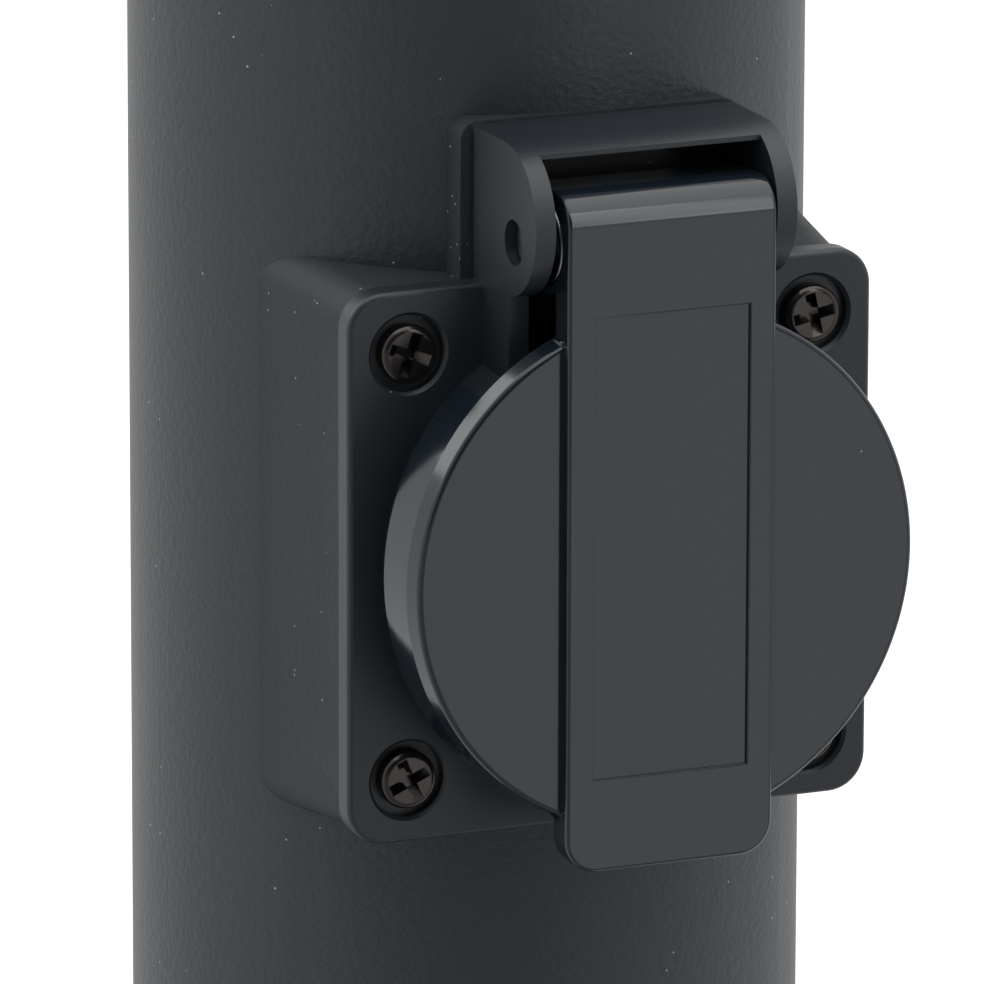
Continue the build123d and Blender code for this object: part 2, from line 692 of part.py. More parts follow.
def lampholder_contact():
    low = LAMP_LOW - 3
    strip = Polygon(
        (-6, low), (7, low), (7, low + 0.5), (-2, low + 0.5), (4, low + 2.4), (3.6, low + 2.9),
        (-6, low + 0.5), align=None,
    )
    return extrude(Pos(0, 2, 0) * (Plane.XZ * strip), 4)


def lamp_cap():
    contact_r = 4.5
    step = LAMP_LOW + 5
    threads = thread_outline(13.3, 0.0, step, LAMP_LOW + CAP_HEIGHT, 3)
    wall = threads[:len(threads) // 2]
    solid = turned([(0, step)] + wall + [(0, LAMP_LOW + CAP_HEIGHT)])
    return solid + turned([
        (0, LAMP_LOW), (contact_r, LAMP_LOW), (contact_r, LAMP_LOW + 1.5), (12.7, step), (0, step),
    ])


def lamp_body():
    low = LAMP_LOW + CAP_HEIGHT
    rim_r = math.sqrt(GLOBE_R**2 - (GLOBE_Z - GLOBE_RIM_Z) ** 2)
    return turned([
        (0, low), (13.2, low), (13.6, low + 2), (16.5, low + 8), (rim_r, GLOBE_RIM_Z),
        (0, GLOBE_RIM_Z),
    ])


def lamp_globe():
    ball = Pos(0, 0, GLOBE_Z) * Sphere(GLOBE_R)
    return ball & cyl_z(2 * GLOBE_R, GLOBE_RIM_Z, GLOBE_Z + 2 * GLOBE_R)


def tie_rods():
    head_low = ADAPTER_LOW - 3
    rod = cyl_z(ROD_R, head_low, CAP_LOW + 6, ROD_CIRCLE_R)
    head = cyl_z(2.6, head_low, ADAPTER_LOW, ROD_CIRCLE_R)
    head -= Pos(ROD_CIRCLE_R, 0, head_low) * extrude(RegularPolygon(1.4, 6), 1.6)
    hollow = Pos(ROD_CIRCLE_R, 0, head_low) * extrude(RegularPolygon(1.4, 6), 1.6)
    return around(ROD_ANGLES, rod + head - hollow)


def head_seal(low):
    inner_r = POST_R - DIFFUSER_WALL
    return cyl_z(STACK_R, low, low + SEAL_T) - cyl_z(inner_r, low - 1, low + SEAL_T + 1)


def diffuser():
    bore_r = POST_R - DIFFUSER_WALL
    return cyl_z(POST_R, DIFFUSER_LOW, DIFFUSER_HIGH) - cyl_z(
        bore_r, DIFFUSER_LOW - 1, DIFFUSER_HIGH + 1
    )


def top_cap():
    spigot_r = POST_R - DIFFUSER_WALL - 0.2
    roof_low = HEIGHT - 3.0
    solid = turned([
        (0, roof_low), (26.5, roof_low), (26.5, CAP_LOW), (26.5, CAP_LOW - 5),
        (spigot_r, CAP_LOW - 5), (spigot_r, CAP_LOW), (POST_R, CAP_LOW),
        (POST_R, HEIGHT - 1.5), (POST_R - 0.45, HEIGHT - 0.45), (POST_R - 1.5, HEIGHT),
        (0, HEIGHT),
    ])
    boss = cyl_z(3.2, CAP_LOW, roof_low + 1, ROD_CIRCLE_R)
    for lug in around(ROD_ANGLES, boss):
        solid += lug
    for hole in around(ROD_ANGLES, cyl_z(ROD_R + 0.05, CAP_LOW - 6, CAP_LOW + 6.5, ROD_CIRCLE_R)):
        solid -= hole
    return solid


# Each node: its name, its maker and whether it is drawn in the socket's frame
NODES = [
    ("base_flange", base_flange, False),
    ("foot_spigot", foot_spigot, False),
    ("cable_grommet", cable_grommet, False),
    ("post_screws", post_screws, False),
    ("terminal_bracket", terminal_bracket, False),
    ("bracket_screw", bracket_screw, False),
    ("terminal_block", terminal_block, False),
    ("block_screws", block_screws, False),
    ("cord_clamp", cord_clamp, False),
    ("cord_clamp_screws", cord_clamp_screws, False),
    ("earth_screw", earth_screw, False),
    ("post_tube", post_tube, False),
    ("saddle_gasket", saddle_gasket, True),
    ("socket_housing", socket_housing, True),
    ("flange_screws", flange_screws, True),
    ("socket_insert", socket_insert, True),
    ("contact_sleeves", contact_sleeves, True),
    ("contact_screws", contact_screws, True),
    ("earth_clip", earth_clip, True),
    ("insert_screw", insert_screw, True),
    ("hinge_pin", hinge_pin, True),
    ("lid_springs", lid_springs, True),
    ("lid", lid, True),
    ("lid_seal", lid_seal, True),
    ("head_adapter", head_adapter, False),
    ("head_screws", head_screws, False),
    ("holder_plate", holder_plate, False),
    ("holder_nipple", holder_nipple, False),
    ("holder_nut", holder_nut, False),
    ("lampholder", lampholder, False),
    ("lampholder_shell", lampholder_shell, False),
    ("lampholder_contact", lampholder_contact, False),
    ("lamp_cap", lamp_cap, False),
    ("lamp_body", lamp_body, False),
    ("lamp_globe", lamp_globe, False),
    ("tie_rods", tie_rods, False),
    ("lower_head_seal", lambda: head_seal(PLATE_TOP), False),
    ("diffuser", diffuser, False),
    ("upper_head_seal", lambda: head_seal(DIFFUSER_HIGH), False),
    ("top_cap", top_cap, False),
]

for name, make, in_socket in NODES:
    made = make()
    place = SOCKET_PLACE if in_socket else Pos(0, 0, 0)
    shapes = made if isinstance(made, list) else [made]
    solids = [place * solid for shape in shapes for solid in shape.solids()]
    node = Compound(children=solids) if len(solids) > 1 else solids[0]
    export_step(node, f"parts/{name}.step")
    print(name, len(solids), "solid(s)", round(sum(s.volume for s in solids), 1), "mm3")
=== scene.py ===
# %% [markdown]
# # A bollard light with a socket outlet
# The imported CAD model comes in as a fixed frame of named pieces, all in metres. This script
# dresses those pieces: it gives them finishes, adds the small forms that a photo shows and a
# CAD part leaves out, and sets up a camera, a floor and lights. The object is a round
# powder-coated post with an opal light head and, half-way up, an outdoor socket outlet with
# a sprung lid. The photo is a close view of that outlet.

import json
import math

import bmesh
import bpy
from mathutils import Matrix, Vector


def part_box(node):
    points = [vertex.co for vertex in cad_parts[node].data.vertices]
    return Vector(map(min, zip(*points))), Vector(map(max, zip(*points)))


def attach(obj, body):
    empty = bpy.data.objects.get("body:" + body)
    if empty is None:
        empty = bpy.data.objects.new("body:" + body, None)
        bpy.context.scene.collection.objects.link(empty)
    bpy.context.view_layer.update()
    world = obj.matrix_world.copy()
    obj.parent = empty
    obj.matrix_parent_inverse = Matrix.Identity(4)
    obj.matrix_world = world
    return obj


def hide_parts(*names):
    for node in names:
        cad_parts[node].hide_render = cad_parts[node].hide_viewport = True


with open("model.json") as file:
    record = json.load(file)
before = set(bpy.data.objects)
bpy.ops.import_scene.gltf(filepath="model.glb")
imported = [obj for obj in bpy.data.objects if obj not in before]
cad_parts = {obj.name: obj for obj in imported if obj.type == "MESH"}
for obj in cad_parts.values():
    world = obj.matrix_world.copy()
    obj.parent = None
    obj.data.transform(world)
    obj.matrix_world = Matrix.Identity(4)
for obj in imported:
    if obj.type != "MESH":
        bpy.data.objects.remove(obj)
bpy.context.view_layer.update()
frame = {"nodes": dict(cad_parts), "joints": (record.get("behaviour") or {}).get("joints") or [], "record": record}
nodes = frame["nodes"]
record = frame["record"]


def in_mm(point):
    """A point's coordinates in millimetres, rounded for a print."""
    return [round(v * 1000, 2) for v in point]


# %% [markdown]
# ## Where the outlet sits
# Everything on the outlet is easier to place from the middle of its flange, on the flange's
# front face. Its height comes from the lid's seal and the hinge's axis from the joint, both
# read from the frame. How far the face stands out from the post's axis is a fixed number.

# %% The outlet's own centre and its hinge
flange_face_y = -0.0327
seal_low, seal_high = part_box("lid_seal")
socket_axis_z = (seal_low.z + seal_high.z) / 2
outlet = Vector((0.0, flange_face_y, socket_axis_z))
hinge_point = Vector(frame["joints"][0]["pos_m"])
print("outlet centre (mm):", in_mm(outlet))
print("hinge axis through (mm):", in_mm(hinge_point))

# %% [markdown]
# ## The camera
# The photo looks at the outlet from its left and a little above, through a long lens from
# about a metre away. A long lens keeps upright edges nearly parallel. The angles below come
# from fitting the four flange screws, the lid and the post's two edges to the photo.

# %% Make the camera
camera_data = bpy.data.cameras.new("photo_camera")
camera = bpy.data.objects.new("photo_camera", camera_data)
bpy.context.scene.collection.objects.link(camera)

view_azimuth = math.radians(-22.91)
view_elevation = math.radians(14.83)
view_roll = math.radians(0.15)
view_distance = 0.946
view_target = outlet + Vector((-0.01121, 0.0, 0.0060))
focal_pixels = 10967
photo_pixels = 984

to_camera = Vector((
    math.sin(view_azimuth) * math.cos(view_elevation),
    -math.cos(view_azimuth) * math.cos(view_elevation),
    math.sin(view_elevation),
))
level_right = Vector((math.cos(view_azimuth), math.sin(view_azimuth), 0.0))
level_up = to_camera.cross(level_right)
camera_right = level_right * math.cos(view_roll) + level_up * math.sin(view_roll)
camera_up = level_up * math.cos(view_roll) - level_right * math.sin(view_roll)

turn = Matrix((camera_right, camera_up, to_camera)).transposed()
camera_place = Matrix.Translation(view_target + to_camera * view_distance)
camera.matrix_world = camera_place @ turn.to_4x4()
camera_data.sensor_width = 36.0
camera_data.lens = focal_pixels / photo_pixels * camera_data.sensor_width
camera_data.clip_start = 0.05
camera_data.clip_end = 20.0
bpy.context.scene.camera = camera
print("lens (mm):", round(camera_data.lens, 1))

# %% [markdown]
# ## Small helpers
# A material is a tree of nodes. Three helpers keep the cells below short: one makes a node and
# fills in its sockets, one starts a material with its Principled shader, and one starts a node
# group with its sockets. Patterns read Object coordinates, because each piece's object sits at
# the origin and never moves on it. A fourth helper turns a finished bmesh into an object.

# %% Node helpers
def add_node(tree, kind, values=None, **settings):
    """A new node with its properties set and its unlinked inputs filled in by name."""
    node = tree.nodes.new(kind)
    for name, value in settings.items():
        setattr(node, name, value)
    for name, value in (values or {}).items():
        node.inputs[name].default_value = value
    return node


def start_material(name, colour, roughness, **sockets):
    """A material with one Principled shader, whose constants sit on its own sockets."""
    material = bpy.data.materials.new(name)
    material.use_nodes = True
    tree = material.node_tree
    shader = tree.nodes["Principled BSDF"]
    shader.inputs["Base Color"].default_value = (*colour, 1.0)
    shader.inputs["Roughness"].default_value = roughness
    for socket, value in sockets.items():
        shader.inputs[socket.replace("_", " ")].default_value = value
    return material, tree, shader


def start_group(name, numbers, results):
    """A node group that takes a Vector and named numbers, with its two end nodes."""
    group = bpy.data.node_groups.new(name, "ShaderNodeTree")
    group.interface.new_socket("Vector", in_out="INPUT", socket_type="NodeSocketVector")
    for number in numbers:
        group.interface.new_socket(number, in_out="INPUT", socket_type="NodeSocketFloat")
    for result in results:
        group.interface.new_socket(result, in_out="OUTPUT", socket_type="NodeSocketFloat")
    return group, add_node(group, "NodeGroupInput"), add_node(group, "NodeGroupOutput")


# %% Mesh helper
def place_mesh(name, bm):
    """Put a finished bmesh into the scene as an object, and free it."""
    mesh = bpy.data.meshes.new(name)
    bm.to_mesh(mesh)
    bm.free()
    made = bpy.data.objects.new(name, mesh)
    bpy.context.scene.collection.objects.link(made)
    return made


# %% [markdown]
# ## Shared effects as node groups
# Three effects come back in many finishes: the fine grain of a moulded or coated face, slow
# uneven patches of tone, and a few pale specks of dust. Grain and patches are one node group
# and dust is another. Each has named inputs, and every finish fills them in for itself.

# %% Group: fine surface grain
def make_grain_group():
    group, inlet, outlet_node = start_group(
        "surface_grain", ("Scale", "Patch Scale"), ("Height", "Patches"),
    )
    grain = add_node(group, "ShaderNodeTexNoise", {"Detail": 3.0, "Roughness": 0.6})
    patches = add_node(group, "ShaderNodeTexNoise", {"Detail": 4.0, "Roughness": 0.55})
    links = group.links
    links.new(inlet.outputs["Vector"], grain.inputs["Vector"])
    links.new(inlet.outputs["Scale"], grain.inputs["Scale"])
    links.new(inlet.outputs["Vector"], patches.inputs["Vector"])
    links.new(inlet.outputs["Patch Scale"], patches.inputs["Scale"])
    links.new(grain.outputs["Fac"], outlet_node.inputs["Height"])
    links.new(patches.outputs["Fac"], outlet_node.inputs["Patches"])
    return group


surface_grain = make_grain_group()
print("group:", surface_grain.name)


# %% Group: pale dust specks
def make_dust_group():
    group, inlet, outlet_node = start_group(
        "dust_specks", ("Scale", "Share", "Size"), ("Mask",),
    )
    cells = add_node(group, "ShaderNodeTexVoronoi", {"Randomness": 1.0})
    chosen = add_node(group, "ShaderNodeMath", operation="LESS_THAN")
    pick = add_node(group, "ShaderNodeSeparateColor")
    near = add_node(group, "ShaderNodeMath", operation="LESS_THAN")
    both = add_node(group, "ShaderNodeMath", operation="MULTIPLY")
    links = group.links
    links.new(inlet.outputs["Vector"], cells.inputs["Vector"])
    links.new(inlet.outputs["Scale"], cells.inputs["Scale"])
    links.new(cells.outputs["Color"], pick.inputs["Color"])
    links.new(pick.outputs["Red"], chosen.inputs[0])
    links.new(inlet.outputs["Share"], chosen.inputs[1])
    links.new(cells.outputs["Distance"], near.inputs[0])
    links.new(inlet.outputs["Size"], near.inputs[1])
    links.new(chosen.outputs["Value"], both.inputs[0])
    links.new(near.outputs["Value"], both.inputs[1])
    links.new(both.outputs["Value"], outlet_node.inputs["Mask"])
    return group


dust_specks = make_dust_group()
print("group:", dust_specks.name)


# %% [markdown]
# ## One recipe for all finishes
# Coated steel, mouldings, rubber and bare metal differ in tone, gloss and grain, not in how
# their trees are made. So one function builds them all: the base colour drifts a little with
# the slow patches, dust lifts it to pale grey in a few dots, roughness follows the same
# patches, and the grain goes through a Bump node.

# %% The recipe
dust_colour = (0.32, 0.33, 0.33)


def coated_finish(name, colour, roughness, grain, patches, dust, **sockets):
    """One finish. grain is (scale, height in metres), patches is (scale, change of tone,
    change of roughness) and dust is (scale, share of cells with a speck, size of a speck)."""
    material, tree, shader = start_material(name, colour, roughness, **sockets)
    links = tree.links
    where = add_node(tree, "ShaderNodeTexCoord")
    grain_node = add_node(tree, "ShaderNodeGroup", node_tree=surface_grain)
    grain_node.inputs["Scale"].default_value = grain[0]
    grain_node.inputs["Patch Scale"].default_value = patches[0]
    links.new(where.outputs["Object"], grain_node.inputs["Vector"])

    darker = tuple(c * (1.0 - patches[1]) for c in colour)
    lighter = tuple(c * (1.0 + patches[1]) for c in colour)
    tone = add_node(tree, "ShaderNodeMix", data_type="RGBA")
    tone.inputs[6].default_value = (*darker, 1.0)
    tone.inputs[7].default_value = (*lighter, 1.0)
    links.new(grain_node.outputs["Patches"], tone.inputs["Factor"])

    dust_node = add_node(tree, "ShaderNodeGroup", node_tree=dust_specks)
    for socket, value in zip(("Scale", "Share", "Size"), dust):
        dust_node.inputs[socket].default_value = value
    links.new(where.outputs["Object"], dust_node.inputs["Vector"])
    dusty = add_node(tree, "ShaderNodeMix", data_type="RGBA")
    dusty.inputs[7].default_value = (*dust_colour, 1.0)
    links.new(tone.outputs[2], dusty.inputs[6])
    links.new(dust_node.outputs["Mask"], dusty.inputs["Factor"])
    links.new(dusty.outputs[2], shader.inputs["Base Color"])

    gloss = add_node(tree, "ShaderNodeMapRange")
    gloss.inputs["To Min"].default_value = roughness - patches[2]
    gloss.inputs["To Max"].default_value = roughness + patches[2]
    links.new(grain_node.outputs["Patches"], gloss.inputs["Value"])
    links.new(gloss.outputs["Result"], shader.inputs["Roughness"])

    bump = add_node(tree, "ShaderNodeBump", {"Strength": 1.0, "Distance": grain[1]})
    links.new(grain_node.outputs["Height"], bump.inputs["Height"])
    links.new(bump.outputs["Normal"], shader.inputs["Normal"])
    return material


# %% Dark finishes
finishes = {}
finishes["powder_coat"] = coated_finish(
    "powder_coat", (0.0175, 0.0228, 0.028), 0.44,
    grain=(1400.0, 0.00010), patches=(30.0, 0.08, 0.04), dust=(1400.0, 0.012, 0.15),
)
finishes["gasket_rubber"] = coated_finish(
    "gasket_rubber", (0.0095, 0.0135, 0.0172), 0.66,
    grain=(1100.0, 0.00008), patches=(60.0, 0.12, 0.04), dust=(1600.0, 0.06, 0.15),
)
finishes["housing_plastic"] = coated_finish(
    "housing_plastic", (0.0125, 0.0165, 0.0215), 0.40,
    grain=(2200.0, 0.00002), patches=(50.0, 0.08, 0.04), dust=(1600.0, 0.014, 0.13),
)
finishes["lid_plastic"] = coated_finish(
    "lid_plastic", (0.0078, 0.0122, 0.0178), 0.12,
    grain=(900.0, 0.000002), patches=(60.0, 0.05, 0.02), dust=(1600.0, 0.002, 0.12),
)
finishes["insert_plastic"] = coated_finish(
    "insert_plastic", (0.012, 0.013, 0.015), 0.5,
    grain=(1800.0, 0.00003), patches=(80.0, 0.1, 0.04), dust=(500.0, 0.02, 0.08),
)
finishes["black_screw"] = coated_finish(
    "black_screw", (0.05, 0.045, 0.043), 0.2, Metallic=0.9,
    grain=(2500.0, 0.00001), patches=(400.0, 0.3, 0.1), dust=(900.0, 0.03, 0.1),
)
finishes["seal_rubber"] = coated_finish(
    "seal_rubber", (0.014, 0.014, 0.015), 0.65,
    grain=(1500.0, 0.00004), patches=(90.0, 0.1, 0.04), dust=(600.0, 0.03, 0.1),
)
finishes["holder_plastic"] = coated_finish(
    "holder_plastic", (0.02, 0.02, 0.021), 0.4,
    grain=(1800.0, 0.00003), patches=(80.0, 0.1, 0.05), dust=(500.0, 0.02, 0.08),
)
print("dark finishes:", ", ".join(finishes))

# %% Metals and pale finishes
finishes["zinc_steel"] = coated_finish(
    "zinc_steel", (0.25, 0.26, 0.275), 0.32, Metallic=1.0,
    grain=(700.0, 0.00002), patches=(300.0, 0.12, 0.08), dust=(600.0, 0.0, 0.05),
)
finishes["brass"] = coated_finish(
    "brass", (0.72, 0.52, 0.22), 0.3, Metallic=1.0,
    grain=(900.0, 0.00001), patches=(250.0, 0.15, 0.08), dust=(600.0, 0.0, 0.05),
)
finishes["lamp_metal"] = coated_finish(
    "lamp_metal", (0.7, 0.7, 0.71), 0.25, Metallic=1.0,
    grain=(900.0, 0.00001), patches=(250.0, 0.1, 0.06), dust=(600.0, 0.0, 0.05),
)
finishes["natural_plastic"] = coated_finish(
    "natural_plastic", (0.72, 0.7, 0.62), 0.4,
    grain=(1500.0, 0.00003), patches=(120.0, 0.04, 0.04), dust=(500.0, 0.0, 0.05),
)
finishes["lamp_plastic"] = coated_finish(
    "lamp_plastic", (0.8, 0.8, 0.79), 0.3,
    grain=(1500.0, 0.00002), patches=(90.0, 0.02, 0.03), dust=(500.0, 0.0, 0.05),
)
finishes["lamp_opal"] = coated_finish(
    "lamp_opal", (0.85, 0.85, 0.83), 0.35,
    grain=(2000.0, 0.00002), patches=(60.0, 0.02, 0.03), dust=(500.0, 0.0, 0.05),
)
finishes["opal_diffuser"] = coated_finish(
    "opal_diffuser", (0.82, 0.83, 0.82), 0.28,
    grain=(1800.0, 0.00002), patches=(25.0, 0.015, 0.03), dust=(220.0, 0.01, 0.05),
)
print("finishes in all:", len(finishes))

# %% [markdown]
# ## Give every CAD piece its finish
# The record names a material slot for each node. The mesh stays as it is: only the material
# on its slots changes.

# %% Assign the finishes
for part in record["subparts"]:
    piece = nodes[part["node"]]
    finish = finishes[part["material_slot"]]
    if not piece.material_slots:
        piece.data.materials.append(finish)
    for material_slot in piece.material_slots:
        material_slot.material = finish
print("dressed", len(record["subparts"]), "nodes")

# %% [markdown]
# ## Lid springs
# Two small torsion springs sit on the hinge pin and pull the lid shut. Part of a turn glints
# in the gap between the left ear and the strap. The CAD has them as plain sleeves, so here
# they get real turns: a round wire section is spun about the hinge axis and moved a little
# sideways at every step.

# %% Make the springs
def wind_spring(bm, left, right, turns):
    """A coil of round wire on the hinge axis, from left to right along it (metres)."""
    wire_radius, coil_radius, steps_per_turn = 0.00034, 0.00345, 28
    circle = bmesh.ops.create_circle(bm, cap_ends=True, segments=12, radius=wire_radius)
    section = circle["verts"]
    bmesh.ops.rotate(bm, verts=section, matrix=Matrix.Rotation(math.radians(90), 3, "X"))
    start = hinge_point + Vector((left + wire_radius, 0.0, coil_radius))
    bmesh.ops.translate(bm, verts=section, vec=start)
    face = section[0].link_faces[0]
    steps = round(turns * steps_per_turn)
    length = right - left - 2 * wire_radius
    bmesh.ops.spin(
        bm, geom=section + list(face.edges) + [face], cent=hinge_point, axis=(1, 0, 0),
        dvec=(length / steps, 0, 0), angle=math.radians(360 * turns), steps=steps,
    )


spring_bm = bmesh.new()
wind_spring(spring_bm, left=-0.0097, right=-0.0057, turns=3.5)
wind_spring(spring_bm, left=0.0065, right=0.0102, turns=4.25)
bmesh.ops.recalc_face_normals(spring_bm, faces=spring_bm.faces)
spring_coils = place_mesh("spring_coils", spring_bm)
spring_coils.data.materials.append(finishes["zinc_steel"])
for face in spring_coils.data.polygons:
    face.use_smooth = True
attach(spring_coils, "post")
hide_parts("lid_springs")
print("spring faces:", len(spring_coils.data.polygons))

# %% [markdown]
# ## The lid with its turned rim
# The photo shows lines along the lid's rim: dark where it mirrors the room in front, bright
# where it mirrors the lamp behind. A small bead at the face and a side that widens towards
# the back draw such lines, and the CAD lid has a plain edge there. So a copy of it is machined
# like a turned part: a ring-shaped cutter with the wanted section takes the corner off, left
# and right of the strap. The left half widens by 10 degrees, which gives the lines. The right
# half has 2 degrees, which keeps the outline. A moulded lid would be alike all round, so this
# is fitted to the photo and not measured.

# %% The cutter's section
lid_lift = 0.00045  # the lid's axis lies this much above the seal's
lid_axis = Vector(((seal_low.x + seal_high.x) / 2, 0.0, socket_axis_z + lid_lift))
face_y = outlet.y - 0.0110
back_y = outlet.y - 0.0089
back_radius = 0.02336
bead_radius, bead_steps = 0.0005, 12
cutter_front_y = face_y - 0.0004
cutter_back_y = back_y + 0.0003
cutter_radius = 0.0246
right_tilt, left_tilt = 2, 10


def rim_section(tilt_degrees):
    """Outline of the cutter as (radius, y): a bead, then a side that widens to the back."""
    tilt = math.radians(tilt_degrees)
    side_rise = (back_y - face_y - bead_radius * (1 - math.sin(tilt))) * math.tan(tilt)
    bead_middle = Vector((
        back_radius - side_rise - bead_radius * math.cos(tilt), face_y + bead_radius,
    ))
    points = [(bead_middle.x, cutter_front_y)]
    for step in range(bead_steps + 1):
        angle = (math.radians(90) - tilt) * step / bead_steps - math.radians(90)
        arm = Vector((math.cos(angle), math.sin(angle)))
        points.append(tuple(bead_middle + bead_radius * arm))
    return points + [
        (back_radius, back_y), (back_radius, cutter_back_y), (cutter_radius, cutter_back_y),
        (cutter_radius, cutter_front_y),
    ]


print("section points:", len(rim_section(left_tilt)))


# %% Spin the cutters
strap_edge = 25.2  # degrees from straight up to where the strap meets the rim
cutter_steps = 110


def spin_cutter(name, section, first_angle, last_angle):
    """The section spun round the lid's axis, between two angles from straight up (degrees)."""
    bm = bmesh.new()
    ring = [bm.verts.new(lid_axis + Vector((0.0, y, radius))) for radius, y in section]
    face = bm.faces.new(ring)
    start = Matrix.Rotation(math.radians(first_angle), 3, "Y")
    bmesh.ops.rotate(bm, verts=ring, cent=lid_axis, matrix=start)
    bmesh.ops.spin(
        bm, geom=ring + list(face.edges) + [face], cent=lid_axis, axis=(0, 1, 0),
        dvec=(0, 0, 0), angle=math.radians(last_angle - first_angle), steps=cutter_steps,
    )
    bmesh.ops.recalc_face_normals(bm, faces=bm.faces)
    return place_mesh(name, bm)


cutters = [
    spin_cutter("right_cutter", rim_section(right_tilt), strap_edge, 180 - strap_edge),
    spin_cutter("left_cutter", rim_section(left_tilt), 180 + strap_edge, 360 - strap_edge),
]
print("cutters:", ", ".join(cutter.name for cutter in cutters))

# %% Shared finish for machined copies
crease_angle = math.radians(24)
same_place = 1e-7  # metres within which two vertices are one


def open_copy(node_name):
    """An editable copy of a CAD node's mesh, with its faces joined at their vertices."""
    bm = bmesh.new()
    bm.from_mesh(nodes[node_name].data)
    bmesh.ops.remove_doubles(bm, verts=bm.verts, dist=same_place)
    return bm


def stand_in(piece, body, slot, node_name):
    """Shade a machined copy and let it stand for the CAD node in the picture."""
    mesh = piece.data
    mesh.materials.clear()
    mesh.materials.append(finishes[slot])
    for face in mesh.polygons:
        face.use_smooth = True
    mesh.set_sharp_from_angle(angle=crease_angle)
    weigh = piece.modifiers.new("flat_faces_first", "WEIGHTED_NORMAL")
    weigh.keep_sharp = True
    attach(piece, body)
    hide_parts(node_name)
    print(piece.name, "stands for", node_name, "-", len(mesh.polygons), "faces")


# %% [markdown]
# Two more forms go onto the lid's copy before it is cut. The skirt behind the rim gets a
# draft, narrow in front and wide behind, which makes the pale mirrored crescent left of the
# lid longer. The rim of the recessed panel in the strap gets a small rounding that catches
# the light.

# %% Draft the skirt
lid_bm = open_copy("lid")
flat_within = math.radians(0.4)
bmesh.ops.dissolve_limit(
    lid_bm, angle_limit=flat_within, verts=lid_bm.verts, edges=lid_bm.edges,
)
skirt_start_y = outlet.y - 0.0095
skirt_middle_y = outlet.y - 0.0070
skirt_radius, radius_slack = 0.0231, 0.00004
drafted_front, drafted_back = 0.02285, 0.02325  # the skirt's radii after the draft
drafted = 0
for vert in lid_bm.verts:
    arm = vert.co - Vector((lid_axis.x, vert.co.y, lid_axis.z))
    if vert.co.y > skirt_start_y and abs(arm.length - skirt_radius) < radius_slack:
        wanted = drafted_front if vert.co.y < skirt_middle_y else drafted_back
        vert.co += arm.normalized() * (wanted - arm.length)
        drafted += 1
print("skirt vertices:", drafted)

# %% Round the panel's rim
strap_y, face_slack = outlet.y - 0.0121, 2e-6
panel_reach = 0.0083  # farther than this from the middle, an edge isn't the panel's
sharp_from = math.radians(60)
rim_rounding = 0.00014


def on_panel(vert):
    """Whether a vertex lies on the strap's face and within the panel's width."""
    return abs(vert.co.y - strap_y) < face_slack and abs(vert.co.x) < panel_reach


panel_edges = [
    edge for edge in lid_bm.edges
    if all(on_panel(vert) for vert in edge.verts)
    and edge.is_manifold and edge.calc_face_angle() > sharp_from
]
bmesh.ops.bevel(
    lid_bm, geom=panel_edges, offset=rim_rounding, offset_type="OFFSET", affect="EDGES",
    segments=3, profile=0.5, material=-1, clamp_overlap=True,
)
print("panel edges:", len(panel_edges))

# %% Cut the copy
lid_cover = place_mesh("lid_cover", lid_bm)
for cutter in cutters:
    cut = lid_cover.modifiers.new(cutter.name, "BOOLEAN")
    cut.operation, cut.solver, cut.object = "DIFFERENCE", "EXACT", cutter
turned = bpy.data.meshes.new_from_object(
    lid_cover.evaluated_get(bpy.context.evaluated_depsgraph_get())
)
lid_cover.modifiers.clear()
lid_cover.data = turned
for cutter in cutters:
    bpy.data.objects.remove(cutter)
stand_in(lid_cover, "lid", "lid_plastic", "lid")

# %% [markdown]
# ## The gasket's front ring
# On the left of the photo the gasket starts right behind the flange's edge, where the CAD's
# ring stands out by 0.65 mm and its sides slope out from there. So on a copy the ring's
# vertices move in, the most a little behind the flange, and less and less from there towards
# the post. All sides are treated alike, which is fitted to the left side only.

# %% Gasket with a slimmer ring
ring_bm = open_copy("saddle_gasket")
ring_start, ring_full, ring_end = 0.0022, 0.0029, 0.0200  # depths behind the flange's face
depth_slack = 0.0001
ring_inside = 0.0215  # nearer to the middle than this, nothing moves
ring_height = 0.0268  # the tab behind the hood reaches higher and stays
side_trim, end_trim = 0.0014, 0.0009
moved = 0
for vert in ring_bm.verts:
    x, depth, z = vert.co - outlet
    in_depth = ring_start + depth_slack < depth < ring_end - depth_slack
    if not in_depth or abs(z) > ring_height:
        continue
    share = min(
        (depth - ring_start) / (ring_full - ring_start),
        (ring_end - depth) / (ring_end - ring_full),
    )
    if abs(x) > ring_inside:
        vert.co.x -= math.copysign(side_trim * share, x)
    if abs(z) > ring_inside:
        vert.co.z -= math.copysign(end_trim * share, z)
    moved += 1
gasket_cover = place_mesh("gasket_cover", ring_bm)
print("ring vertices:", moved)
stand_in(gasket_cover, "post", "gasket_rubber", "saddle_gasket")

# %% [markdown]
# ## Floor, background and light
# The photo is a cut-out on pure white. Its dark, half-glossy pieces tell where the light was:
# the post is palest at both edges, where it mirrors a white room beside and behind it, and
# darkest in the middle, where it mirrors the dark side that the camera stands on. So floor
# and world are white to the camera, white to reflections at the sides and behind, and fade
# to dark in front. One group gives that fade, from a direction or from a place on the floor.

# %% Group: dark in front, white at the sides and behind
front_direction = (-0.1, -0.995, 0.0)


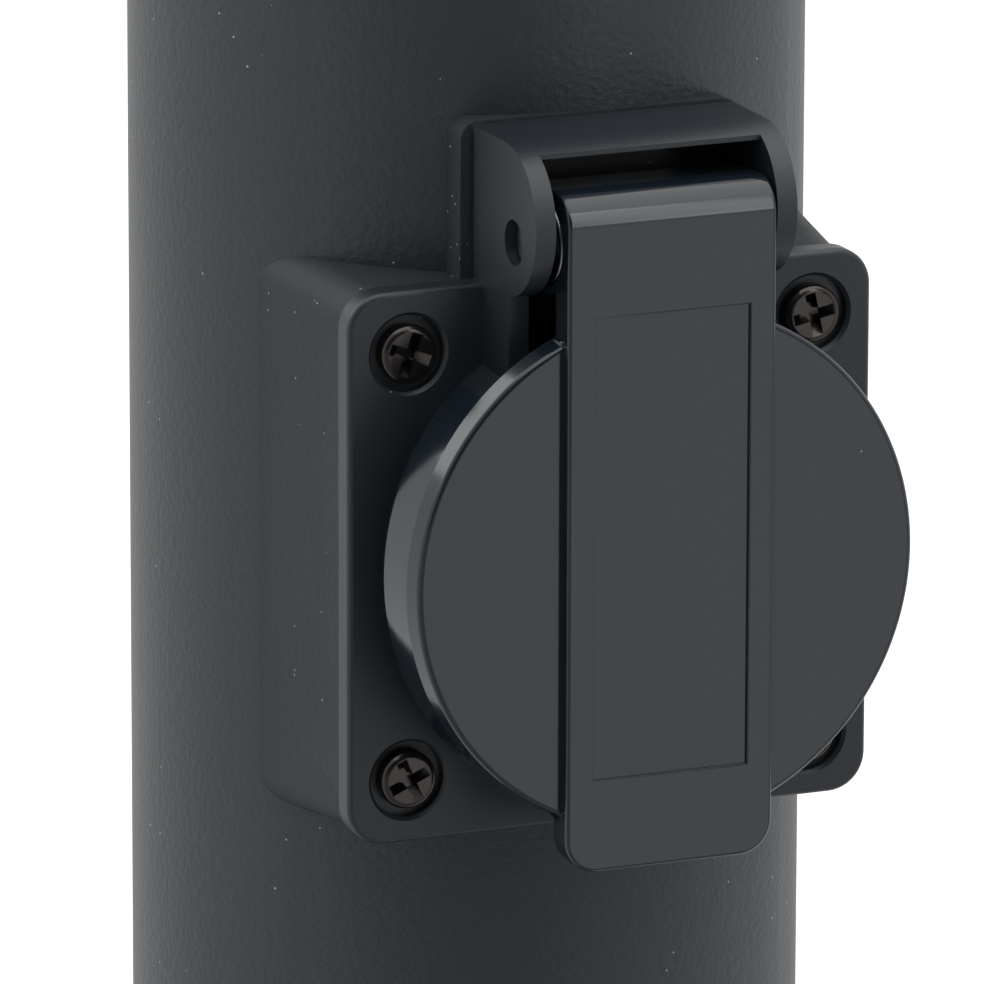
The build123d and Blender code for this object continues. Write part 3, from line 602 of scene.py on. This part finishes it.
def make_front_fade():
    group, inlet, outlet_node = start_group("front_fade", ("Front",), ("Level",))
    unit = add_node(group, "ShaderNodeVectorMath", operation="NORMALIZE")
    facing = add_node(group, "ShaderNodeVectorMath", operation="DOT_PRODUCT")
    facing.inputs[1].default_value = front_direction
    fade = add_node(
        group, "ShaderNodeMapRange", {"From Min": 0.25, "From Max": 0.97, "To Min": 1.0},
        interpolation_type="SMOOTHSTEP",
    )
    links = group.links
    links.new(inlet.outputs["Vector"], unit.inputs[0])
    links.new(unit.outputs["Vector"], facing.inputs[0])
    links.new(facing.outputs["Value"], fade.inputs["Value"])
    links.new(inlet.outputs["Front"], fade.inputs["To Max"])
    links.new(fade.outputs["Result"], outlet_node.inputs["Level"])
    return group


front_fade = make_front_fade()
print("group:", front_fade.name)

# %% Floor
floor_half_width = 6.0
floor_glow_to_camera = 0.55
floor_front_level = 0.42

floor_bm = bmesh.new()
bmesh.ops.create_grid(floor_bm, x_segments=1, y_segments=1, size=floor_half_width)
floor = place_mesh("floor", floor_bm)

floor_material, floor_tree, floor_shader = start_material("floor_white", (0.8, 0.8, 0.8), 0.9)
floor_shader.inputs["Specular IOR Level"].default_value = 0.0
floor_shader.inputs["Emission Color"].default_value = (1.0, 1.0, 1.0, 1.0)
floor_rays = add_node(floor_tree, "ShaderNodeLightPath")
floor_glow = add_node(
    floor_tree, "ShaderNodeMath", {1: floor_glow_to_camera}, operation="MULTIPLY",
)
floor_place = add_node(floor_tree, "ShaderNodeTexCoord")
floor_fade = add_node(floor_tree, "ShaderNodeGroup", node_tree=front_fade)
floor_fade.inputs["Front"].default_value = floor_front_level
floor_mirrored = add_node(floor_tree, "ShaderNodeEmission")
floor_choice = add_node(floor_tree, "ShaderNodeMixShader")
links = floor_tree.links
links.new(floor_rays.outputs["Is Camera Ray"], floor_glow.inputs[0])
links.new(floor_glow.outputs["Value"], floor_shader.inputs["Emission Strength"])
links.new(floor_place.outputs["Object"], floor_fade.inputs["Vector"])
links.new(floor_fade.outputs["Level"], floor_mirrored.inputs["Strength"])
links.new(floor_rays.outputs["Is Glossy Ray"], floor_choice.inputs["Fac"])
links.new(floor_shader.outputs["BSDF"], floor_choice.inputs[1])
links.new(floor_mirrored.outputs["Emission"], floor_choice.inputs[2])
floor_surface = floor_tree.nodes["Material Output"].inputs["Surface"]
links.new(floor_choice.outputs["Shader"], floor_surface)
floor.data.materials.append(floor_material)
print("floor half width (m):", floor_half_width)

# %% World
world_front_level = 0.03
world_soft_level = 0.5

world = bpy.data.worlds.new("white_studio")
bpy.context.scene.world = world
world.use_nodes = True
world_tree = world.node_tree
world_tree.nodes.clear()
world_out = add_node(world_tree, "ShaderNodeOutputWorld")
world_light = add_node(world_tree, "ShaderNodeBackground", {"Color": (1, 1, 1, 1)})
world_rays = add_node(world_tree, "ShaderNodeLightPath")
world_place = add_node(world_tree, "ShaderNodeTexCoord")
world_fade = add_node(world_tree, "ShaderNodeGroup", node_tree=front_fade)
world_fade.inputs["Front"].default_value = world_front_level
mirrored = add_node(world_tree, "ShaderNodeMath", operation="MULTIPLY")
seen = add_node(world_tree, "ShaderNodeMath", operation="MAXIMUM")
soft = add_node(world_tree, "ShaderNodeMath", {1: world_soft_level}, operation="MULTIPLY")
plain = add_node(world_tree, "ShaderNodeMath", operation="MAXIMUM")
level = add_node(world_tree, "ShaderNodeMath", operation="MAXIMUM")
links = world_tree.links
links.new(world_place.outputs["Generated"], world_fade.inputs["Vector"])
links.new(world_rays.outputs["Is Glossy Ray"], mirrored.inputs[0])
links.new(world_fade.outputs["Level"], mirrored.inputs[1])
links.new(world_rays.outputs["Is Camera Ray"], seen.inputs[0])
links.new(world_rays.outputs["Is Transmission Ray"], seen.inputs[1])
links.new(world_rays.outputs["Is Diffuse Ray"], soft.inputs[0])
links.new(seen.outputs["Value"], plain.inputs[0])
links.new(mirrored.outputs["Value"], plain.inputs[1])
links.new(plain.outputs["Value"], level.inputs[0])
links.new(soft.outputs["Value"], level.inputs[1])
links.new(level.outputs["Value"], world_light.inputs["Strength"])
links.new(world_light.outputs["Background"], world_out.inputs["Surface"])
print("world:", world.name)

# %% [markdown]
# The lamps do what the reflections in the photo ask for. A soft lamp overhead lights the tops
# and one behind on the left draws the lid's rim. Two narrow strips at the front right are what
# the flat faces and the strap's roll mirror. All are weak enough that colours come out about
# as they are written.

# %% Lamps
def soft_lamp(name, azimuth, elevation, distance, width, height, power):
    """An area lamp aimed at the outlet. Azimuth 0 is in front and -90 on the left."""
    light = bpy.data.lights.new(name, "AREA")
    light.shape = "RECTANGLE"
    light.size, light.size_y, light.energy = width, height, power
    lamp = bpy.data.objects.new(name, light)
    bpy.context.scene.collection.objects.link(lamp)
    round_post, upward = math.radians(azimuth), math.radians(elevation)
    away = Vector((
        math.sin(round_post) * math.cos(upward),
        -math.cos(round_post) * math.cos(upward),
        math.sin(upward),
    ))
    lamp.location = outlet + away * distance
    lamp.rotation_mode = "QUATERNION"
    lamp.rotation_quaternion = away.to_track_quat("Z", "Y")


lamp_table = (
    # name, azimuth and elevation (degrees), distance, width and height (metres), power (W)
    ("top_lamp", 30, 75, 1.1, 1.4, 1.4, 9.2),
    ("left_lamp", -130, 36, 1.4, 1.0, 1.0, 7),
    ("low_strip", 23, -6, 0.5, 0.12, 0.34, 0.102),
    ("high_strip", 26, 27, 0.6, 0.1, 0.45, 0.48),
)
for lamp_values in lamp_table:
    soft_lamp(*lamp_values)

# %% View settings
bpy.context.scene.view_settings.view_transform = "Standard"
